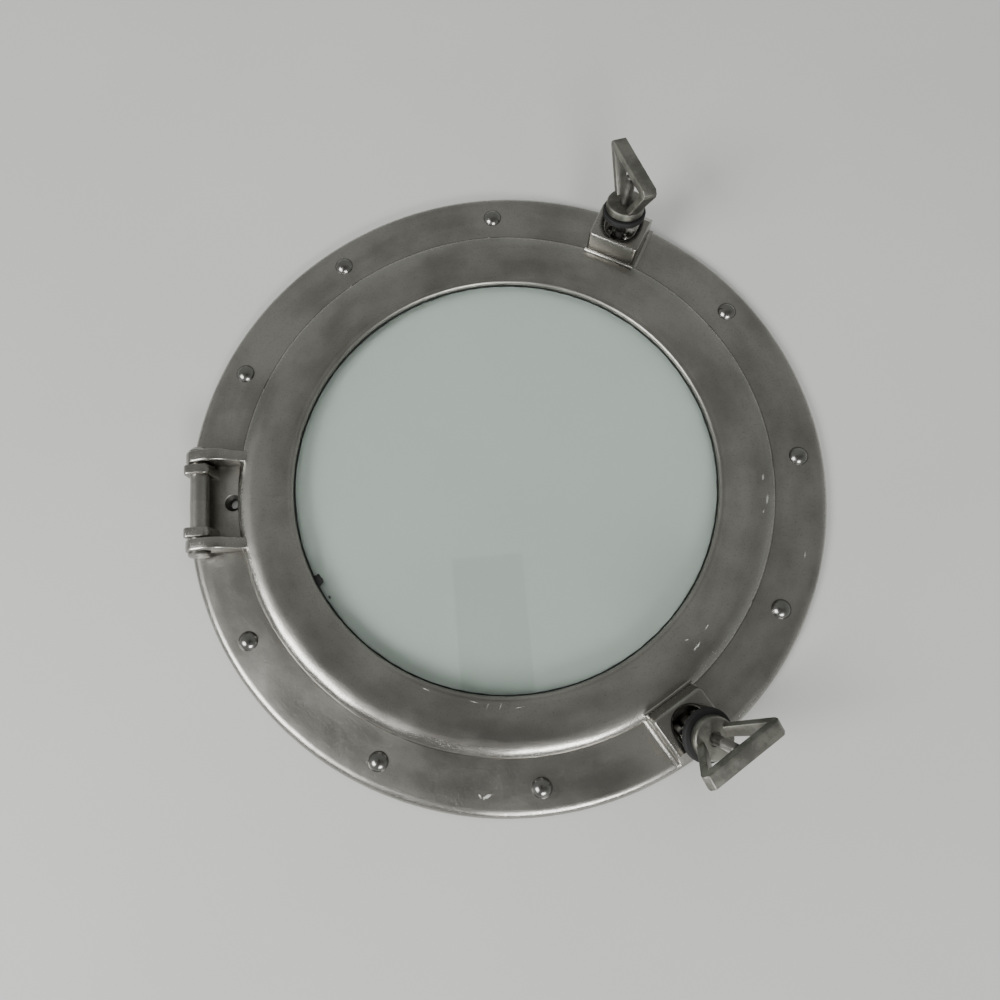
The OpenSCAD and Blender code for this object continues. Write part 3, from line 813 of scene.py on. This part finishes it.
class PORTHOLE_OT_glazing(bpy.types.Operator):
    """Model the glass, its bedding, the door gasket, the clips and their screws"""

    bl_idname = "porthole.glazing"
    bl_label = "Glazing"

    def execute(self, context):
        sizes = context.scene.porthole_castings
        bead = 0.5 * MM
        pane = [(0, GLASS_BACK), (GLASS_R - bead, GLASS_BACK), (GLASS_R, GLASS_BACK + bead)]
        pane += [(GLASS_R, GLASS_FRONT - bead), (GLASS_R - bead, GLASS_FRONT), (0, GLASS_FRONT)]
        piece("glass_pane", spun(pane, 192, closed=False), "door", "glass", "glass", "glass")
        gasket = frame["nodes"]["door_gasket"]
        gasket.data.materials.clear()
        gasket.data.materials.append(material("rubber"))
        self.bedding(FLANGE_R - sizes.land - sizes.ring_w)
        self.sealant()
        self.clips(sizes)
        return {"FINISHED"}

    def bedding(self, sight):
        """The black bedding between lip and glass. It stands out a little, and unevenly."""
        inner, foot, top = sight - 0.7 * MM, GLASS_FRONT + 0.05 * MM, GLASS_FRONT + 0.75 * MM
        outline = [(inner, foot), (GLASS_R, foot), (GLASS_R, top), (inner, top)]
        outline.append((inner - 0.15 * MM, foot + 0.3 * MM))
        ring = spun(outline, CAST_STEPS)
        for vert in ring.verts:
            if vert.co.xy.length < sight:
                lumps = noise.noise((vert.co.x * 160, vert.co.y * 160, 3)) * 0.35 * MM
                vert.co.xy *= 1 + lumps / sight
        piece("glass_bedding", ring, "door", "rubber", "black_rubber", "glass_gasket")

    def sealant(self):
        """Two smears of black sealant that were squeezed out at the lip."""
        shells = []
        for x, y, size, squash in ((-113.2, -51.0, 3.4, 0.22), (-107.0, -61.4, 1.0, 0.4)):
            mesh = bmesh.new()
            bmesh.ops.create_icosphere(mesh, subdivisions=4, radius=size * MM)
            for vert in mesh.verts:
                vert.co *= 1 + 0.35 * noise.noise(vert.co * 520 + Vector((x, y, 0)))
                vert.co.x *= 0.7
                vert.co.z *= squash
            turn = Matrix.Rotation(math.atan2(y, x), 4, "Z")
            shells.append(moved(mesh, Matrix.Translation((x * MM, y * MM, GLASS_FRONT)) @ turn))
        piece("sealant_smears", merged(*shells), "door", "rubber", "black_rubber")

    def clips(self, sizes):
        """Four clips with round corners behind the glass, and their slotted screws."""
        middle = GLASS_R + GLASS_GAP + sizes.spigot_w / 2
        inner, outer = GLASS_R - 3.4 * MM, middle + sizes.spigot_w / 2 - 0.9 * MM
        half, corner = 5.9 * MM, 2 * MM
        near, far = inner + corner, outer - corner
        plan = []
        for x, side, start in ((near, 1, 90), (near, -1, 180), (far, -1, 270), (far, 1, 0)):
            plan += arc((x, side * (half - corner)), corner, start, start + 90, 5)
        back = low("glass_clip_1").z
        slot_half, slot_deep, slot_w = 3.4 * MM, 0.62 * MM, 0.8 * MM
        groove = [
            (-slot_half, -slot_deep), (slot_half, -slot_deep), (slot_half, slot_deep), (-slot_half, slot_deep)
        ]
        screws, slots = [], []
        for k in range(4):
            turn = Matrix.Rotation(math.radians(45 + 90 * k), 4, "Z")
            mesh = bmesh.new()
            mesh.faces.new([mesh.verts.new((x, y, back)) for x, y in plan])
            thicken(mesh, (0, 0, GLASS_BACK - back - 0.05 * MM))
            soften(mesh, 0.2 * MM, 2, 60)
            piece(
                f"clip_{k + 1}", moved(mesh, turn), "door", "bright", "plated_steel", f"glass_clip_{k + 1}"
            )
            head = spun([
                (0, 0.3 * MM), (2.5 * MM, 0.3 * MM), (3 * MM, 0.7 * MM), (3 * MM, 1.29 * MM), (0, 1.29 * MM)
            ], 32, closed=False)
            spot = turn @ Matrix.Translation((middle, 0, 0))
            screws.append(moved(head, spot))
            spot = spot @ Matrix.Rotation(math.radians(30 + 50 * k), 4, "Z")
            slots.append(moved(slab(groove, slot_w), spot))
        heads = piece("clip_screw_heads", merged(*screws), "door", "bright", "plated_steel", "clip_screws")
        carve(heads, merged(*slots))


class PORTHOLE_OT_hinge(bpy.types.Operator):
    """Model the hinge pin and its keeper"""

    bl_idname = "porthole.hinge"
    bl_label = "Hinge"

    def execute(self, context):
        lowest, highest = low("hinge_pin").y, high("hinge_pin").y
        head_r = (high("hinge_pin").z - low("hinge_pin").z) / 2
        pin_r, head_t, edge = 5.3 * MM, 2 * MM, 0.8 * MM
        outline = [(0, lowest), (head_r - edge, lowest), (head_r, lowest + edge)]
        outline += [(head_r, lowest + head_t - 0.3 * MM), (head_r - 0.3 * MM, lowest + head_t)]
        outline += [(pin_r, lowest + head_t), (pin_r, highest - edge), (pin_r - edge, highest), (0, highest)]
        along = Matrix.Translation((HINGE.x, 0, HINGE.z)) @ Matrix.Rotation(-math.pi / 2, 4, "X")
        pin = moved(spun(outline, 48, closed=False), along)
        piece("hinge_pin_rod", pin, "frame", "pin_steel", "plated_steel", "hinge_pin")
        start, end = low("hinge_pin_keeper").y, high("hinge_pin_keeper").y
        ring = [(pin_r + 0.05 * MM, start), (head_r - 0.3 * MM, start), (head_r, start + 0.3 * MM)]
        ring += [(head_r, end - 0.3 * MM), (head_r - 0.3 * MM, end), (pin_r + 0.05 * MM, end)]
        keeper = moved(spun(ring, 48), along)
        piece("hinge_keeper_ring", keeper, "frame", "bright", "plated_steel", "hinge_pin_keeper")
        return {"FINISHED"}


class PORTHOLE_OT_dogs(bpy.types.Operator):
    """Model the swing bolts, pivot pins, rubber washers and wing nuts"""

    bl_idname = "porthole.dogs"
    bl_label = "Dogs"

    def execute(self, context):
        dogs = context.scene.porthole_dogs
        for dog in DOGS:
            place = bolt_matrix(dog)
            back = place.inverted()
            reach = self.along(dog + "_rubber_washer", back)
            hub = self.along(dog + "_wing_nut", back)
            tip = self.along(dog + "_swing_bolt", back)[1]
            self.bolt(dog, place, dogs, hub[0] + dogs.hub_t, tip)
            self.washer(dog, place, dogs, reach)
            turn = dogs.upper_turn if dog == "upper" else dogs.lower_turn
            self.nut(dog, place @ Matrix.Rotation(turn, 4, "Z"), dogs, hub)
        return {"FINISHED"}

    def along(self, node, back):
        """How far along the bolt a CAD node starts and ends."""
        heights = [(back @ v.co).z for v in frame["nodes"][node].data.vertices]
        return min(heights), max(heights)

    def bolt(self, dog, place, dogs, hub_top, tip):
        """An eye, a plain shank, and a thread whose crests are turned one by one."""
        radius, depth = dogs.bolt_r, 0.42 * MM
        plain = hub_top + (8 * MM if dog == "lower" else -1 * MM)
        foot, pitch, crest = dogs.eye_r * 0.6, dogs.pitch, plain
        outline = [(0, foot), (radius, foot), (radius, plain)]
        while crest + pitch < tip - 0.8 * MM:
            outline += [(radius - depth, crest + pitch * 0.3), (radius - depth, crest + pitch * 0.42)]
            outline += [(radius, crest + pitch * 0.8), (radius, crest + pitch)]
            crest += pitch
        outline += [(radius - 0.9 * MM, tip - 0.1 * MM), (0, tip)]
        shank = spun(outline, 40, closed=False)
        half, edge = dogs.eye_w / 2, 0.7 * MM
        bore = dogs.pin_bore / 2
        eye = spun([
            (bore, -half), (dogs.eye_r - edge, -half), (dogs.eye_r, edge - half), (dogs.eye_r, half - edge),
            (dogs.eye_r - edge, half), (bore, half),
        ], 48)
        eye = moved(eye, Matrix.Rotation(math.pi / 2, 4, "X"))
        mesh = moved(merged(shank, eye), place)
        piece(
            dog + "_eye_bolt", mesh, dog + "_bolt", "dark_thread", "bolt_steel", dog + "_swing_bolt", sharp=50
        )
        self.pivot(dog)

    def pivot(self, dog):
        """The plain pin through the lug and the bolt's eye."""
        radius = (high(dog + "_pivot_pin").z - low(dog + "_pivot_pin").z) / 2
        end = 8 * MM
        pin = spun([(0, -end), (radius, -end), (radius, end), (0, end)], 32, closed=False)
        spot = joint_place(dog + "_bolt_swing")
        turn = rim_matrix(dog) @ Matrix.Rotation(math.pi / 2, 4, "X")
        piece(
            dog + "_pivot", moved(pin, Matrix.Translation(spot) @ turn), "frame", "bright", "plated_steel",
            dog + "_pivot_pin",
        )

    def washer(self, dog, place, dogs, reach):
        """A rubber disc with round edges."""
        start, end = reach
        outer = dogs.upper_washer_r if dog == "upper" else dogs.lower_washer_r
        bore, edge = dogs.bolt_r + 0.3 * MM, 0.9 * MM
        outline = [(bore, start), *round_rim(outer, start, end, edge), (bore, end)]
        mesh = moved(spun(outline, 72), place)
        piece(dog + "_washer", mesh, dog + "_bolt", "rubber", "black_rubber", dog + "_rubber_washer")

    def nut(self, dog, place, dogs, reach):
        """A round hub with two arms that spread up to a straight grip bar."""
        start, end = reach
        hub_top = start + dogs.hub_t
        bore, edge = dogs.bolt_r + 0.35 * MM, 1.1 * MM
        outline = [(bore + 0.5 * MM, start), *round_rim(dogs.hub_r, start, hub_top, edge)]
        outline += [(bore + 0.6 * MM, hub_top), (bore, hub_top - 0.6 * MM), (bore, start + 0.5 * MM)]
        hub = spun(outline, 72)
        foot_in = dogs.bolt_r + 0.6 * MM + dogs.arm_t / 2
        foot_out, bar_z = foot_in + dogs.arm_t, end - dogs.bar_t
        half, top_in = dogs.bar_len / 2, dogs.bar_len / 2 - dogs.arm_t
        corner = 2.2 * MM
        right = [
            (foot_out, start + MM), (foot_out, hub_top), (half, bar_z + 0.6 * MM),
            (half, end - corner), (half - corner, end),
        ]
        inner = [(foot_in, hub_top - 0.5 * MM), (top_in, bar_z)]
        mesh = bmesh.new()
        outer_right = [mesh.verts.new((x, 0, z)) for x, z in right]
        outer_left = [mesh.verts.new((-x, 0, z)) for x, z in right]
        in_right = [mesh.verts.new((x, 0, z)) for x, z in inner]
        in_left = [mesh.verts.new((-x, 0, z)) for x, z in inner]
        mesh.faces.new([outer_left[0], *outer_right[:2], in_right[0], in_left[0], outer_left[1]])
        mesh.faces.new([outer_right[1], outer_right[2], in_right[1], in_right[0]])
        mesh.faces.new([outer_left[2], outer_left[1], in_left[0], in_left[1]])
        mesh.faces.new([in_left[1], in_right[1], *outer_right[2:], *reversed(outer_left[2:])])
        bmesh.ops.recalc_face_normals(mesh, faces=mesh.faces)
        bmesh.ops.translate(mesh, verts=mesh.verts, vec=(0, -dogs.bar_w / 2, 0))
        thicken(mesh, (0, dogs.bar_w, 0))
        for vert in mesh.verts:
            vert.co.y *= 0.78 + 0.22 * min(1, max(0, (vert.co.z - hub_top) / (bar_z - hub_top)))
        bmesh.ops.recalc_face_normals(mesh, faces=mesh.faces)
        soften(mesh, MM, 3, 25)
        whole = moved(merged(hub, mesh), place)
        piece(dog + "_wing", whole, dog + "_nut", "nut_rough", "cast_nut", dog + "_wing_nut")


class PORTHOLE_OT_rivets(bpy.types.Operator):
    """Model the dome rivets of the flange"""

    bl_idname = "porthole.rivets"
    bl_label = "Rivets"

    # How many degrees each rivet is off its place. None is a place without one
    drift = (-1, 2.5, None, -2.5, 1, 2, None, -2, 1.5, 1.5, None, -1.5)

    def execute(self, context):
        sizes = context.scene.porthole_castings
        top, places = sizes.flange_t, sizes.rivet_places
        dome_h, half = high("dome_rivets").z - top, 5.7 * MM
        pitch_r = FLANGE_R - sizes.pitch_inset
        radius = (dome_h ** 2 + half ** 2) / (2 * dome_h)
        edge = math.degrees(math.asin(half / radius))
        sunk = top - 0.2 * MM
        dome = arc((0, top + dome_h - radius), radius, 90 - edge, 90, 14)[:-1]
        outline = [(0, sunk), (half - 0.3 * MM, sunk), *dome, (0, top + dome_h)]
        domes = []
        for k, off in enumerate(self.drift):
            if off is not None:
                turn = Matrix.Rotation(math.radians(k * 360 / places + off), 4, "Z")
                place = turn @ Matrix.Translation((pitch_r, 0, 0))
                domes.append(moved(spun(outline, 48, closed=False), place))
        piece(
            "rivet_domes", merged(*domes), "frame", "rivet", "polished_aluminium", "dome_rivets", sharp=50
        )
        return {"FINISHED"}


class PORTHOLE_OT_stage(bpy.types.Operator):
    """Set the floor, the lamps and the camera"""

    bl_idname = "porthole.stage"
    bl_label = "Stage"

    def execute(self, context):
        self.sheet("floor", (8, 8), (0, 0, -0.3 * MM), "floor")
        self.world(context)
        self.lamp("left_window", 204, 38, (1.0, 0.8), 42)
        self.lamp("near_window", 279, 30, (0.8, 0.5), 27)
        self.lamp("fill", 60, 75, (2.4, 2.4), 22).visible_glossy = False
        # A dark card behind the camera, which the bright metal mirrors as a soft dark band
        self.sheet("shade_card", (0.085, 0.30), (-0.028, -0.12, 0.47), "rubber").visible_camera = False
        self.camera(context)
        return {"FINISHED"}

    def sheet(self, name, size, place, finish):
        """A flat sheet that belongs to the stage."""
        mesh = bmesh.new()
        bmesh.ops.create_grid(mesh, x_segments=1, y_segments=1, size=0.5)
        bmesh.ops.scale(mesh, verts=mesh.verts, vec=(*size, 1))
        data = bpy.data.meshes.new(name)
        mesh.to_mesh(data)
        mesh.free()
        made = bpy.data.objects.new(name, data)
        made.location = place
        data.materials.append(material(finish))
        bpy.context.scene.collection.objects.link(made)
        return made

    def world(self, context):
        """A grey room: dim overhead and pale towards the horizon."""
        world = bpy.data.worlds.new("room")
        context.scene.world = world
        shader = Shader(world=world)
        _, away, up = shader.split(shader.node("ShaderNodeTexCoord", output="Generated"))
        ceiling = shader.mix(away.above(-0.08, 0.38), (0.205, 0.205, 0.195), (0.36, 0.365, 0.35))
        colour = shader.mix(up.above(0.35, 0.9), (0.40, 0.41, 0.40), ceiling)
        room = shader.node("ShaderNodeBackground", sockets={"Color": colour, "Strength": 1.0})
        shader.node("ShaderNodeOutputWorld", sockets={"Surface": room})

    def lamp(self, name, azimuth, elevation, size, power):
        """A soft panel that faces the window. Angles are in degrees, sizes in metres and power in watts."""
        distance = 2.2
        light = bpy.data.lights.new(name, "AREA")
        light.shape = "RECTANGLE"
        light.size, light.size_y = size
        light.energy = power
        made = bpy.data.objects.new(name, light)
        turn = Matrix.Rotation(math.radians(azimuth), 3, "Z")
        turn = turn @ Matrix.Rotation(math.radians(-elevation), 3, "Y")
        made.location = turn @ Vector((distance, 0, 0))
        made.rotation_euler = (-made.location).to_track_quat("-Z", "Y").to_euler()
        bpy.context.scene.collection.objects.link(made)
        return made

    def camera(self, context):
        """A camera that looks down on the window from a little below its middle."""
        data = bpy.data.cameras.new("camera")
        data.sensor_width = 36
        data.lens = 27.04
        made = bpy.data.objects.new("camera", data)
        pose = Matrix.Translation((-0.0022, -0.1161, 0.4384))
        for degrees, axis in ((-5.4, "Z"), (13.31, "X"), (1.48, "Y")):
            pose = pose @ Matrix.Rotation(math.radians(degrees), 4, axis)
        made.matrix_world = pose
        context.scene.collection.objects.link(made)
        context.scene.camera = made


class PORTHOLE_PT_panel(bpy.types.Panel):
    """The porthole's pieces and settings"""

    bl_idname = "PORTHOLE_PT_panel"
    bl_label = "Porthole window"
    bl_space_type = "VIEW_3D"
    bl_region_type = "UI"
    bl_category = "Porthole"

    def draw(self, context):
        for operator in OPERATORS:
            self.layout.operator(operator.bl_idname)
        for group in ("porthole_castings", "porthole_dogs", "porthole_finish"):
            settings = getattr(context.scene, group)
            for name in settings.bl_rna.properties.keys():
                if name not in ("rna_type", "name"):
                    self.layout.prop(settings, name)


GROUPS = {
    "porthole_castings": PortholeCastings,
    "porthole_dogs": PortholeDogs,
    "porthole_finish": PortholeFinish,
}
OPERATORS = (
    PORTHOLE_OT_flange, PORTHOLE_OT_door_ring, PORTHOLE_OT_glazing, PORTHOLE_OT_hinge,
    PORTHOLE_OT_dogs, PORTHOLE_OT_rivets, PORTHOLE_OT_stage,
)


def register():
    for name, group in GROUPS.items():
        bpy.utils.register_class(group)
        setattr(bpy.types.Scene, name, PointerProperty(type=group))
    for cls in (*OPERATORS, PORTHOLE_PT_panel):
        bpy.utils.register_class(cls)


def unregister():
    for cls in (PORTHOLE_PT_panel, *reversed(OPERATORS)):
        bpy.utils.unregister_class(cls)
    for name, group in GROUPS.items():
        delattr(bpy.types.Scene, name)
        bpy.utils.unregister_class(group)


def main():
    register()
    for operator in OPERATORS:
        group, name = operator.bl_idname.split(".")
        getattr(getattr(bpy.ops, group), name)()


if __name__ == "__main__":
    main()
